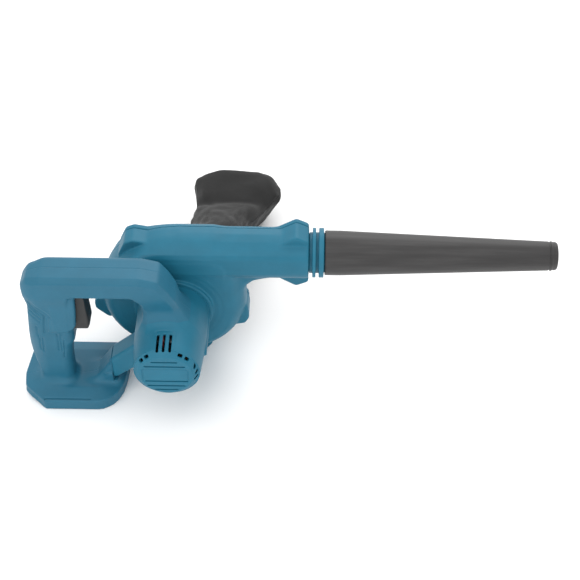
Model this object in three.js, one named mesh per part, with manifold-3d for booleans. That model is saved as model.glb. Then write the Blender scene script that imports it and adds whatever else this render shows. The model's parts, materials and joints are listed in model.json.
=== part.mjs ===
// Compact cordless hand blower with a dust bag on its air intake.
// Millimetres. The blower is laid out about the middle of its scroll: the nozzle points along +X, the
// motor end faces -Y, the air intake and its bag face +Y, and the grip stands along +Z. The fan and the
// motor turn about a line along Y that passes AXIS_X beside the scroll's middle. What is made by barY,
// ringY, turnedY and spun sits about that line. The last lines move the origin to the middle of the underside.
import * as THREE from 'three';
import { mergeVertices, toCreasedNormals } from 'three/addons/utils/BufferGeometryUtils.js';
import { ConvexGeometry } from 'three/addons/geometries/ConvexGeometry.js';
import Module from 'manifold-3d';

const wasm = await Module();
wasm.setup();

// ---- driving dimensions ----
const GAP = 0.3; // clearance between neighbouring pieces
const WALL = 2.6; // moulded wall
const FLOOR_Z = -80; // what the blower stands on
const AXIS_X = -2.6; // the fan's and motor's line

const SCROLL_NEAR = -22; // motor side of the fan scroll
const SCROLL_FAR = 26; // intake side of the fan scroll
const PARTING = 12; // plane where the two scroll halves meet
const SCROLL_START = 68.3; // radius where the spiral begins, level with the axis
const SCROLL_GROWTH = 10.7; // how much the radius grows over three quarter turns
const TOP_Z = 79; // top of the scroll and of the outlet duct
const MOTOR_RING_RISE = 4; // how far the ring round the barrel stands off the scroll

const DUCT_END = 130.5;
const DUCT_Y = 2; // centre line of the outlet duct and nozzle
const DUCT_Z = 55.5;
const DUCT_BORE = 21.2;
const OUTLET_HOLE = 19;

const SPIGOT_BORE = 16.6;
const SPIGOT_TUBE = 19.3;
const SPIGOT_NECK = 19.85;
const SPIGOT_RIB = 24.2;
const NOZZLE_START = 145.8;
const NOZZLE_END = 370.3;
const NOZZLE_BASE = 21.8; // outer radius at the wide end
const NOZZLE_TIP = 14.2; // outer radius at the narrow end
const NOZZLE_WALL = 1.9;
const NOZZLE_SOCKET = 160.6; // where the socket over the spigot stops

const INTAKE_BORE = 37;
const INTAKE_RING = 41.5;
const INTAKE_LIP = 42; // far end of the intake ring

const BARREL = 35; // motor barrel radius next to the scroll
const BARREL_TIP = 31.9; // and at its rim
const BORE_FRONT = 32.2;
const BORE_TIP = 29.8;
const BARREL_TAPER = -60; // where the barrel starts to narrow
const BARREL_FRONT = SCROLL_NEAR - GAP;
const BARREL_RIM = -103.7;
const CAP_FACE = -110.3;

const HANDLE_Y = -54.5; // parting plane of the handle halves
const HANDLE_NEAR = -70.5;
const HANDLE_FAR = -38.5;
const HANDLE_CHAMFER = 4.5;
const BASE_TOP = -64;
const BASE_RIM = -66.8; // top of the base's upright edge
const TRAY_TOP = BASE_RIM - WALL; // face that rests on the battery
const ARM_SEAM = -63.2; // where the barrel's arm meets the riser on the base
const TRIGGER_TRAVEL = 6;

const SHAFT = 3;
const FAN_RADIUS = 52;
const FAN_BLADES = 9;
const CORE_SLOTS = 8;

// ---- materials ----
const paint = (color, roughness, metalness = 0) => ({ color, roughness, metalness });
const TEAL = paint(0x2f7896, 0.5);
const DARK_PLASTIC = paint(0x3f4043, 0.45);
const TRIGGER_PLASTIC = paint(0x48443f, 0.5);
const BLACK_PLASTIC = paint(0x1d1e20, 0.55);
const FABRIC = paint(0x2e2e30, 0.95);
const RUBBER = paint(0x202022, 0.85);
const STEEL = paint(0xa9adb0, 0.35, 1);
const ZINC = paint(0x8f9499, 0.4, 1);
const COPPER = paint(0xb36b3c, 0.35, 1);
const BRASS = paint(0xb79a55, 0.35, 1);
const MAGNET = paint(0x3b3a3c, 0.6, 0.2);
const CARBON = paint(0x2a2a2b, 0.7);
const RED_LEAD = paint(0x9c2b26, 0.5);
const BLACK_LEAD = paint(0x19191a, 0.5);

// ---- solids ----
function signedVolume(points, faces) {
  const a = new THREE.Vector3();
  const b = new THREE.Vector3();
  const c = new THREE.Vector3();
  let sum = 0;
  for (let i = 0; i < faces.length; i += 3) {
    a.fromArray(points, 3 * faces[i]);
    b.fromArray(points, 3 * faces[i + 1]);
    c.fromArray(points, 3 * faces[i + 2]);
    sum += a.dot(b.cross(c));
  }
  return sum / 6;
}

// A closed three.js geometry as a solid for cutting and joining, faces outward.
function solid(geometry) {
  const bare = geometry.clone();
  bare.deleteAttribute('normal');
  bare.deleteAttribute('uv');
  const welded = mergeVertices(bare, 1e-4);
  const points = new Float32Array(welded.attributes.position.array);
  const faces = [];
  const index = welded.index.array;
  for (let i = 0; i < index.length; i += 3) {
    const [p, q, r] = [index[i], index[i + 1], index[i + 2]];
    if (p !== q && q !== r && r !== p) faces.push(p, q, r);
  }
  if (signedVolume(points, faces) < 0) faces.reverse();
  return new wasm.Manifold(
    new wasm.Mesh({ numProp: 3, vertProperties: points, triVerts: new Uint32Array(faces) }),
  );
}

function join(...bodies) {
  return bodies.reduce((sum, body) => sum.add(body));
}

function cut(body, ...tools) {
  return tools.reduce((rest, tool) => rest.subtract(tool), body);
}

function block(x0, x1, y0, y1, z0, z1) {
  const box = new THREE.BoxGeometry(x1 - x0, y1 - y0, z1 - z0);
  return solid(box.translate((x0 + x1) / 2, (y0 + y1) / 2, (z0 + z1) / 2));
}

// Round bars along Y and X.
function barY(radius, y0, y1, x = AXIS_X, z = 0, sides = 32) {
  const bar = new THREE.CylinderGeometry(radius, radius, y1 - y0, sides);
  return solid(bar.translate(x, (y0 + y1) / 2, z));
}

function barX(radius, x0, x1, y, z, sides = 24) {
  const bar = new THREE.CylinderGeometry(radius, radius, x1 - x0, sides).rotateZ(Math.PI / 2);
  return solid(bar.translate((x0 + x1) / 2, y, z));
}

// Turned shapes: rows of [radius, station] about a line along Y, or about the duct line along X.
function turnedY(rows, sides = 32, x = AXIS_X, z = 0) {
  const profile = rows.map(([radius, station]) => new THREE.Vector2(radius, station));
  return solid(new THREE.LatheGeometry(profile, sides).translate(x, 0, z));
}

function turnedX(rows, sides = 32) {
  const profile = rows.map(([radius, station]) => new THREE.Vector2(radius, station));
  const lathe = new THREE.LatheGeometry(profile, sides).rotateZ(-Math.PI / 2);
  return solid(lathe.translate(0, DUCT_Y, DUCT_Z));
}

function ringRows(inner, outer, low, high) {
  return [[inner, low], [outer, low], [outer, high], [inner, high], [inner, low]];
}

function ringY(inner, outer, y0, y1, sides = 32) {
  return turnedY(ringRows(inner, outer, y0, y1), sides);
}

// An outline of [a, b] points pulled out to a length, with an optional rounded edge at both ends.
// edge: depth along the pull, width across it, steps of the curve, inset of the whole outline.
function pulled(outline, length, edge = {}) {
  const { depth = 0, width = 0, steps = 1, inset = 0 } = edge;
  const shape = new THREE.Shape(outline.map(([a, b]) => new THREE.Vector2(a, b)));
  const plain = depth === 0 && inset === 0;
  const pull = new THREE.ExtrudeGeometry(shape, {
    depth: length - 2 * depth,
    steps: 1,
    bevelEnabled: !plain,
    bevelThickness: depth,
    bevelSize: width,
    bevelOffset: -width - inset,
    bevelSegments: steps,
  });
  return pull.translate(0, 0, depth);
}

// Outline in XZ between two Y planes.
function plate(outline, y0, y1, edge) {
  return solid(pulled(outline, y1 - y0, edge).rotateX(Math.PI / 2).translate(0, y1, 0));
}

// Outline in XY between two Z planes.
function slab(outline, z0, z1, edge) {
  return solid(pulled(outline, z1 - z0, edge).translate(0, 0, z0));
}

// Outline in YZ between two X planes.
function beam(outline, x0, x1, edge) {
  const turn = new THREE.Matrix4().makeBasis(
    new THREE.Vector3(0, 1, 0),
    new THREE.Vector3(0, 0, 1),
    new THREE.Vector3(1, 0, 0),
  );
  return solid(pulled(outline, x1 - x0, edge).applyMatrix4(turn).translate(x0, 0, 0));
}

const degrees = (angle) => (angle * Math.PI) / 180;
const polar = (radius, angle) => [radius * Math.cos(degrees(angle)), radius * Math.sin(degrees(angle))];

// Turns a body made about x = 0 and sets it on the fan's line; counter-clockwise seen from the motor end.
function spun(body, angle) {
  return body.rotate([0, -angle, 0]).translate([AXIS_X, 0, 0]);
}

// A round lead or wire along a smooth path of points.
function wire(points, radius, steps, sides = 6) {
  const path = new THREE.CatmullRomCurve3(points.map((p) => new THREE.Vector3(...p)));
  const ring = [];
  for (let i = 0; i < sides; i += 1) ring.push(new THREE.Vector2(...polar(radius, (360 * i) / sides)));
  return solid(new THREE.ExtrudeGeometry(new THREE.Shape(ring), { steps, extrudePath: path, bevelEnabled: false }));
}

// ---- the list of finished pieces ----
const part = new THREE.Group();

function piece(name, body, look) {
  const made = body.getMesh();
  const geometry = new THREE.BufferGeometry();
  geometry.setAttribute('position', new THREE.BufferAttribute(new Float32Array(made.vertProperties), 3));
  geometry.setIndex(new THREE.BufferAttribute(new Uint32Array(made.triVerts), 1));
  const mesh = new THREE.Mesh(toCreasedNormals(geometry, degrees(30)), new THREE.MeshStandardMaterial(look));
  mesh.name = name;
  part.add(mesh);
}

// ---- fan scroll ----
function scrollOutline(inset) {
  const points = [];
  for (let turn = 0; turn <= 270; turn += 18) {
    points.push(polar(SCROLL_START + (SCROLL_GROWTH * turn) / 270 - inset, -turn));
  }
  points.push([38, TOP_Z - inset], [56, 73 - inset], [65 - inset, 58]);
  return points;
}

// Section of the outlet duct in YZ: flat towards the motor, crowned above, round below.
const DUCT_SECTION = [
  [-23, 48], [-23, 67], [-21, 71.5], [-16, 74.6], [-8, 77.5], [2, 79], [10, 78.3], [17, 75.2], [22.5, 69.5],
  [25.5, 62], [26, 54], [24, 44.5], [18.5, 36.5], [10.5, 31.8], [2, 30.3], [-6.5, 31.8], [-14, 36], [-20, 42],
];

// Web that fills the corner between the scroll and the underside of the duct.
const THROAT = [[50, 42], [92, 34], [83, 30], [76.5, 27], [70.5, 21.5], [66.5, 14.5], [65, 6], [65, -8], [50, -8]];

// Screw lugs round the scroll: outline, screw centre and the Y plane where the lug starts.
const LUG_NEAR = -7;
const MOUTH_LUG_NEAR = -11;
const LUG_FAR = 18;

function lug(angle, tip) {
  const corners = [[60, -15], [tip - 10, -13.5], [tip - 1, -4.5], [tip, 1.5], [tip - 8, 12.5], [60, 15]];
  return {
    outline: corners.map(([radius, lean]) => polar(radius, angle + lean)),
    centre: polar(tip - 6.4, angle - 0.8),
    near: LUG_NEAR,
  };
}

const LUGS = [
  lug(122, 87),
  lug(191, 86.5),
  {
    outline: [[-8, -60], [-3, -74], [4, FLOOR_Z], [24, FLOOR_Z], [32, -70], [30, -58]],
    centre: [14, -75.6],
    near: LUG_NEAR,
  },
  {
    outline: [[50, -5], [66, -7], [70, -14], [70.8, -30], [66.5, -38], [48, -42]],
    centre: [66.6, -21.5],
    near: LUG_NEAR,
  },
  {
    outline: [[94, 60], [94, 72], [118, 86.5], [130.5, 80], [130.5, 60]],
    centre: [118, 80.6],
    near: MOUTH_LUG_NEAR,
  },
  {
    outline: [[94, 44], [94, 32], [118, 16.5], [130.5, 22.5], [130.5, 44]],
    centre: [118, 23.6],
    near: MOUTH_LUG_NEAR,
  },
];
const SCREW_HOLE = 2.1;
const HEAD_HOLE = 3.6;
const HEAD_SEAT = 15.6;

function scrollOuter() {
  const motorEdge = { depth: 22, width: 18, steps: 4 };
  const intakeEdge = { depth: 20, width: 18, steps: 4 };
  const beyond = 30;
  const motorSide = plate(scrollOutline(0), SCROLL_NEAR, SCROLL_FAR + beyond, motorEdge);
  const intakeSide = plate(scrollOutline(0), SCROLL_NEAR - beyond, SCROLL_FAR, intakeEdge);
  const duct = beam(DUCT_SECTION, -22, DUCT_END);
  const throat = plate(THROAT, -14, LUG_FAR, { depth: 6, width: 4, steps: 2 });
  const lugs = LUGS.map(({ outline, near }) => plate(outline, near, LUG_FAR));
  return join(motorSide.intersect(intakeSide), duct, throat, ...lugs);
}

function scrollInner() {
  const chamber = plate(scrollOutline(WALL), SCROLL_NEAR + WALL, SCROLL_FAR - WALL, { depth: 19, width: 15, steps: 2 });
  const duct = barX(DUCT_BORE, 10, DUCT_END - 4, DUCT_Y, DUCT_Z, 32);
  const outlet = barX(OUTLET_HOLE, DUCT_END - 10, DUCT_END + 10, DUCT_Y, DUCT_Z, 32);
  const screws = LUGS.map(({ centre: [x, z] }) => barY(SCREW_HOLE, -3, 40, x, z, 12));
  return join(chamber, duct, outlet, ...screws);
}

function fanScroll() {
  const hollow = scrollOuter().subtract(scrollInner());
  const nearHalf = block(-200, 200, -60, PARTING - GAP / 2, -200, 200);
  const farHalf = block(-200, 200, PARTING + GAP / 2, 60, -200, 200);
  const motorRing = ringY(BARREL + 0.4, 39, SCROLL_NEAR - MOTOR_RING_RISE, SCROLL_NEAR + 1, 44);
  const shaftHole = barY(4.4, -40, 0, AXIS_X, 0, 16);
  const motorHoles = MOTOR_SCREWS.map(([x, z]) => barY(1.9, -40, 0, x, z, 10));
  piece('volute_motor_side', cut(join(hollow.intersect(nearHalf), motorRing), shaftHole, ...motorHoles), TEAL);

  const mouth = ringY(INTAKE_BORE, INTAKE_RING, SCROLL_FAR - WALL, INTAKE_LIP, 36);
  const shelf = ringY(34, INTAKE_BORE + 1, SCROLL_FAR - WALL, SCROLL_FAR - 0.6, 36);
  const bore = barY(INTAKE_BORE, 10, 60, AXIS_X, 0, 36);
  const seats = LUGS.map(({ centre: [x, z] }) => barY(HEAD_HOLE, HEAD_SEAT, 60, x, z, 16));
  piece('volute_intake_side', cut(join(cut(hollow.intersect(farHalf), bore), mouth, shelf), ...seats), TEAL);
}

// Round grille that keeps fingers off the fan, resting on the shelf inside the intake ring.
function intakeGuard() {
  const low = SCROLL_FAR - 0.3;
  const high = low + 2;
  const rings = [[34.4, 36.6], [25.5, 27], [16.5, 18]].map(([inner, outer]) => ringY(inner, outer, low, high, 24));
  const hub = barY(8, low, high, AXIS_X, 0, 16);
  const spokes = [0, 45, 90, 135].map((angle) => spun(block(-35.5, 35.5, low, high, -0.9, 0.9), angle));
  piece('intake_guard', join(...rings, hub, ...spokes), BLACK_PLASTIC);
}

// Ribbed collar clamped in the duct mouth; the nozzle pushes over its tube.
function outletSpigot() {
  const flange = DUCT_END - 4 - GAP;
  piece('outlet_spigot', turnedX([
    [SPIGOT_BORE, flange - 3], [DUCT_BORE - GAP, flange - 3], [DUCT_BORE - GAP, flange],
    [OUTLET_HOLE - GAP, flange], [OUTLET_HOLE - GAP, DUCT_END + GAP], [SPIGOT_NECK, DUCT_END + GAP],
    [SPIGOT_NECK, 133.9], [SPIGOT_RIB, 133.9], [SPIGOT_RIB, 137], [SPIGOT_NECK, 137],
    [SPIGOT_NECK, 140.1], [SPIGOT_RIB, 140.1], [SPIGOT_RIB, 144.7], [SPIGOT_TUBE, 145],
    [SPIGOT_TUBE, 159.4], [SPIGOT_TUBE - 0.6, 160], [SPIGOT_BORE, 160], [SPIGOT_BORE, flange - 3],
  ]), TEAL);
}

function nozzle() {
  const lip = NOZZLE_END - 8;
  const socket = SPIGOT_TUBE + GAP;
  const slope = (NOZZLE_TIP - NOZZLE_BASE) / (lip - NOZZLE_SOCKET);
  const throat = NOZZLE_BASE - NOZZLE_WALL - 1.6;
  piece('nozzle', turnedX([
    [socket, NOZZLE_START], [NOZZLE_BASE, NOZZLE_START], [NOZZLE_BASE, NOZZLE_SOCKET],
    [NOZZLE_BASE + slope * 90, NOZZLE_SOCKET + 90], [NOZZLE_TIP, lip], [13.6, lip + 0.4], [13.6, lip + 1.2],
    [14.4, lip + 1.6], [14.4, lip + 3], [13.8, lip + 3.4], [13.8, lip + 6.6], [12.9, NOZZLE_END],
    [11.7, NOZZLE_END], [11.5, lip], [throat, NOZZLE_SOCKET + 8], [throat, NOZZLE_SOCKET], [socket, NOZZLE_SOCKET],
    [socket, NOZZLE_START],
  ]), DARK_PLASTIC);
}

// ---- motor barrel, its arm to the base and its end cap ----
const MOTOR_SCREWS = [0, 120, 240].map((angle) => polar(21, angle)).map(([x, z]) => [x + AXIS_X, z]);
const BEARING_SEAT = 9.8;
const ARM = [
  [-62.9, -30.9], [-43, -13.5], [-26, 0], [-18, -24], [-26, -32], [-43, -45], [-58, -57], [-62.9, -58.4],
];

function barrel() {
  const profile = (front, tip, start, end) => turnedY([
    [0, start], [tip, start], [front - 0.4 * (front - tip), -86], [front, BARREL_TAPER], [front, end], [0, end],
  ], 44);
  const tube = join(
    profile(BARREL, BARREL_TIP, BARREL_RIM, BARREL_FRONT),
    plate(ARM, -65, -43, { depth: 3, width: 3, steps: 2 }),
    block(AXIS_X + 32, AXIS_X + 35.9, -80, SCROLL_NEAR - MOTOR_RING_RISE - GAP, -7, -1),
  );
  const boss = ringY(BEARING_SEAT, 12.4, -32, BARREL_FRONT - 1, 24);
  const ribs = [45, 135, 225, 315].map((angle) => spun(block(28.4, 32.3, -96, -30, -1.5, 1.5), angle));
  const topSlots = [-9.3, -3.4, 2.6].map((x) => block(x - 1.25, x + 1.25, -102, -88.4, 20, 40));
  const screwHoles = MOTOR_SCREWS.map(([x, z]) => barY(1.9, -40, 0, x, z, 10));
  const leadHole = block(-9, 3, -66, -47, 25, 40);
  const hollow = cut(tube, profile(BORE_FRONT, BORE_TIP, BARREL_RIM - 1, BARREL_FRONT - 2.7));
  const fitted = join(hollow, boss, ...ribs);
  const shaftHole = barY(4.4, -60, 0, AXIS_X, 0, 16);
  piece('motor_barrel', cut(fitted, shaftHole, leadHole, ...topSlots, ...screwHoles), TEAL);
}

function endCap() {
  const seam = BARREL_RIM - GAP;
  const lipOuter = BORE_TIP - GAP;
  const lipInner = 27.7;
  const cup = turnedY([
    [0, CAP_FACE], [24.6, CAP_FACE], [26, CAP_FACE + 0.5], [31, seam - 1.8], [BARREL_TIP, seam], [lipOuter, seam],
    [lipOuter, seam + 5], [lipInner, seam + 5], [lipInner, seam - 1.5], [22, CAP_FACE + 2.4], [0, CAP_FACE + 2.4],
  ], 44);
  const boss = ringY(7.9, 10.4, CAP_FACE + 2, -98.2, 24);
  const middle = AXIS_X - 1;
  const grooves = [[12, 18.2], [18.9, 12], [17.8, -15.3], [11, -20.9]].map(([reach, z]) => (
    block(middle - reach, middle + reach, CAP_FACE - 1, CAP_FACE + 1.2, z - 0.7, z + 0.7)
  ));
  const badge = block(middle - 21, middle + 21, CAP_FACE - 1, CAP_FACE + 0.5, -9, 8);
  const vents = [42, 56, 132, 146].map((angle) => spun(block(27.2, 29.6, CAP_FACE - 1, seam + 8, -2.3, 2.3), angle));
  piece('motor_end_cap', cut(join(cup, boss), ...grooves, badge, ...vents), TEAL);
}

// ---- handle: two halves holding grip, top bar and battery base ----
const HANDLE_OUTLINE = [
  [-119, 86.5], [-26, 86.5], [-9, 82], [-1, 70], [5.5, 56.5], [15, 20], [-20, 14], [-29, 53], [-36, 60.5],
  [-91.5, 60.5], [-93.5, 46], [-96, -5], [-99.5, -10], [-102, -32], [-99, -48], [-97, -70], [-131, -70],
  [-136.8, -42], [-139.8, -28], [-141.5, -12], [-140, 6], [-137.7, 28], [-135.9, 46], [-138.5, 60], [-139.5, 72],
  [-133, 82],
];
const BASE_OUTLINE = [
  [-146, -9], [-151, -13], [-154.8, -52], [-152.6, -68], [-131, -89], [-76, -89], [-65, -83], [-57, -69],
  [-52.3, -48], [-52.3, -24], [-57, -11], [-65, -9],
];
const DECK_SHRINK = [0.67, 0.58]; // flat middle of the base's top, as shares of its outline
const PILLAR = [[-80, -66], [-73, -52], [-68.5, -38], [ARM_SEAM, -31.5], [ARM_SEAM, -58.6], [-56, -66]];
const FOOT = [[-90, -66], [-78, -61], [-67, -51], [ARM_SEAM, -47], [ARM_SEAM, -66]];
const TRIGGER_BLOCK = [
  [-114.5, 14.5], [-101, 14.5], [-95, 16.5], [-91.5, 21.5], [-89.5, 42], [-88.3, 61], [-114.5, 62],
];
const HANDLE_SCREWS = [[-58, 75.5], [-119, 77], [-122, -30], [-68.5, -54]];

// The grip seen from above: straight sides and a rounded back.
function gripPlan(inset) {
  const half = (HANDLE_FAR - HANDLE_NEAR) / 2 - inset;
  const back = 18 - inset;
  const points = [[40, HANDLE_Y + half]];
  for (let a = 90; a <= 270; a += 20) {
    const [c, w] = polar(1, a);
    points.push([-124 + back * c, HANDLE_Y + half * w]);
  }
  points.push([40, HANDLE_Y - half]);
  return points;
}

// Convex solid between two outlines in XY at two heights.
function taper(lower, z0, upper, z1) {
  const points = [...lower.map(([x, y]) => [x, y, z0]), ...upper.map(([x, y]) => [x, y, z1])];
  return solid(new ConvexGeometry(points.map((p) => new THREE.Vector3(...p))));
}

function rectangle(x0, x1, y0, y1) {
  return [[x0, y0], [x1, y0], [x1, y1], [x0, y1]];
}

function batteryBase() {
  const [shareX, shareY] = DECK_SHRINK;
  const [cx, cy] = [-103, -49];
  const middle = BASE_OUTLINE.map(([x, y]) => [cx + shareX * (x - cx), cy + shareY * (y - cy)]);
  const rim = slab(BASE_OUTLINE, FLOOR_Z, BASE_RIM);
  const deck = taper(BASE_OUTLINE, BASE_RIM - 1, middle, BASE_TOP);
  const mound = taper(rectangle(-146, -87, -81, -28), BASE_RIM - 1, rectangle(-136, -98, -70, -39), -55);
  return join(rim, deck, mound);
}

function handleOuter() {
  const edge = { depth: HANDLE_CHAMFER, width: HANDLE_CHAMFER, steps: 2 };
  const bar = plate(HANDLE_OUTLINE, HANDLE_NEAR, HANDLE_FAR, edge).intersect(slab(gripPlan(0), -100, 100));
  const pillar = plate(PILLAR, -67, -37, { depth: 2, width: 2, steps: 1 });
  const foot = plate(FOOT, -68, -46);
  const cheeks = plate(TRIGGER_BLOCK, HANDLE_NEAR - 1, HANDLE_FAR + 1, { depth: 1.5, width: 1.5, steps: 1 });
  const barrelRoom = barY(BARREL + GAP, -130, 0, AXIS_X, 0, 44);
  const armRoom = block(ARM_SEAM + 0.1, -40, -70, -30, -59, -20);
  return cut(join(bar, batteryBase(), pillar, foot, cheeks), barrelRoom, armRoom);
}

function handleInner() {
  const bevel = { depth: 5, width: 5, steps: 1, inset: WALL };
  const bar = plate(HANDLE_OUTLINE, HANDLE_NEAR + WALL, HANDLE_FAR - WALL, bevel);
  const tray = slab(BASE_OUTLINE, FLOOR_Z - 40, TRAY_TOP, { depth: 2.5, width: 2, steps: 1, inset: WALL });
  const triggerWindow = block(-110, -80, HANDLE_Y - 10.6, HANDLE_Y + 10.6, 12.6, 58.4);
  const leadHole = block(-117, -109, HANDLE_Y - 9, HANDLE_Y + 9, TRAY_TOP - 1, BASE_TOP);
  return join(bar.intersect(slab(gripPlan(WALL), -100, 100)), tray, triggerWindow, leadHole);
}

function handleHalves() {
  const railSpan = [-128, -72];
  const rails = [[-88, -78], [-20, -10]].map(([y0, y1]) => block(...railSpan, y0, y1, FLOOR_Z + 0.2, FLOOR_Z + 2.8));
  const outer = handleOuter();
  const posts = HANDLE_SCREWS.map(([x, z]) => barY(4, HANDLE_NEAR + 2, HANDLE_FAR - 2, x, z, 16));
  const holes = HANDLE_SCREWS.map(([x, z]) => barY(SCREW_HOLE, HANDLE_NEAR + 6, HANDLE_FAR + 5, x, z, 12));
  const seats = HANDLE_SCREWS.map(([x, z]) => barY(HEAD_HOLE, HANDLE_FAR - 5.3, HANDLE_FAR + 5, x, z, 16));
  const shell = join(cut(outer, handleInner()), ...rails, ...posts);
  const drilled = cut(shell, ...holes, ...seats);
  const near = block(-200, 50, -120, HANDLE_Y - GAP / 2, -200, 200);
  const far = block(-200, 50, HANDLE_Y + GAP / 2, 60, -200, 200);
  piece('handle_shell_near', drilled.intersect(near), TEAL);
  piece('handle_shell_far', drilled.intersect(far), TEAL);
}

// ---- trigger and switch ----
const TRIGGER_OUTLINE = [
  [-103, 57.5], [-81, 57.5], [-77.6, 54], [-76.8, 40], [-77.6, 24], [-79.5, 16], [-83, 13.3], [-103, 13.3],
];
const PLUNGER_Z = 22;

function trigger() {
  const body = plate(TRIGGER_OUTLINE, HANDLE_Y - 10, HANDLE_Y + 10, { depth: 3.5, width: 2.5, steps: 1 });
  const plunger = barX(2.4, -116, -102, HANDLE_Y, PLUNGER_Z, 16);
  piece('trigger', join(body, plunger), TRIGGER_PLASTIC);
}

function switchBody() {
  const front = -103 - TRIGGER_TRAVEL - 1;
  const box = block(-127, front, HANDLE_Y - 10, HANDLE_Y + 10, 2, 42);
  const bore = barX(2.8, -124, front + 1, HANDLE_Y, PLUNGER_Z, 16);
  piece('switch_body', cut(box, bore), BLACK_PLASTIC);
}

// ---- battery contacts ----
const CONTACT_YS = [-64, -54.5, -45];

function batteryContacts() {
  const top = TRAY_TOP - GAP;
  const body = block(-124, -84, -69, -40, FLOOR_Z + 3, top);
  const slots = CONTACT_YS.map((y) => block(-120, -80, y - 0.8, y + 0.8, FLOOR_Z, top - 3));
  piece('battery_terminal_block', cut(body, ...slots), BLACK_PLASTIC);
  ['negative', 'signal', 'positive'].forEach((role, i) => {
    const y = CONTACT_YS[i];
    piece(`terminal_blade_${role}`, block(-119, -92, y - 0.4, y + 0.4, FLOOR_Z + 3.4, top - 3 - GAP), BRASS);
  });
}

// ---- leads inside the handle ----
function leads() {
  const switchLow = 2;
  const runs = [['positive', -60.5, -6, RED_LEAD], ['negative', -48.5, 0, BLACK_LEAD]];
  runs.forEach(([role, y, side, look]) => {
    const low = [[-113, y, TRAY_TOP], [-111, y, -50], [-109, y, -25], [-117, y, -12], [-119, y, -5], [-119, y, switchLow - GAP]];
    piece(`lead_base_to_switch_${role}`, wire(low, 1.1, 12), look);
    const high = [
      [-120, y, 42.3], [-119, y, 52], [-112, y, 63], [-96, y, 66.5], [-75, y, 66], [-45, y, 66], [-26, y, 64],
      [-13, y, 56], [side - 3, y, 44], [side, -56, 35.5], [side, -60, 30.5], [side, -68, 28.5], [side, -84, 28.5],
      [side, -92.6, 28.3], [side, -94.7, 25], [side, -92.5, 21], [side, -88.4, 19],
    ];
    piece(`lead_switch_to_motor_${role}`, wire(high, 1.1, 32), look);
  });
}

// ---- motor, fixed parts ----
const CAN_BACK = -92;
const CAN_FRONT = -34;

function motorFixed() {
  const sides = 40;
  const can = turnedY([
    [12.8, CAN_FRONT], [12.8, CAN_FRONT - 1.4], [25.4, CAN_FRONT - 1.4], [25.4, CAN_BACK], [27, CAN_BACK],
    [27, CAN_FRONT], [12.8, CAN_FRONT],
  ], sides);
  piece('motor_can', can, STEEL);
  ['upper', 'lower'].forEach((role, i) => {
    const arc = [];
    for (let a = 25; a <= 155; a += 13) arc.push(polar(25.1, a));
    for (let a = 155; a >= 25; a -= 13) arc.push(polar(21.2, a));
    piece(`magnet_${role}`, spun(plate(arc, -80, -48), 180 * i), MAGNET);
  });
  piece('front_bearing', ringY(SHAFT + 0.25, BEARING_SEAT - 0.15, -31.5, BARREL_FRONT - 3, 24), STEEL);
  piece('rear_bearing', ringY(SHAFT + 0.25, 7.7, CAP_FACE + 3, -99, 24), STEEL);
  const card = cut(barY(25.1, -87.4, -85.4, AXIS_X, 0, 40), barY(10, -90, -80, AXIS_X, 0, 24));
  piece('brush_card', card, BLACK_PLASTIC);
}

// A brush, its brass tube and its spring on each side of the commutator.
function brushes() {
  const brushY = -91;
  ['left', 'right'].forEach((role, i) => {
    const turn = 180 * (1 - i);
    const brush = block(COMMUTATOR + GAP, 16.5, brushY - 2.5, brushY + 2.5, -3, 3);
    piece(`brush_${role}`, spun(brush, turn), CARBON);
    const tube = cut(
      block(10.4, 24, brushY - 3.3, brushY + 3.3, -3.8, 3.8),
      block(9, 23.2, brushY - 2.7, brushY + 2.7, -3.2, 3.2),
    );
    piece(`brush_tube_${role}`, spun(tube, turn), BRASS);
    const coil = [];
    for (let k = 0; k <= 24; k += 1) {
      const [y, z] = polar(1.7, k * 45);
      coil.push([17.2 + 0.23 * k, brushY + y, z]);
    }
    piece(`brush_spring_${role}`, spun(wire(coil, 0.3, 40, 5), turn), STEEL);
  });
}

// ---- rotor ----
const COMMUTATOR = 8;
const CORE = 20.5;
const CORE_LOW = -78;
const CORE_HIGH = -50;

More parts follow.
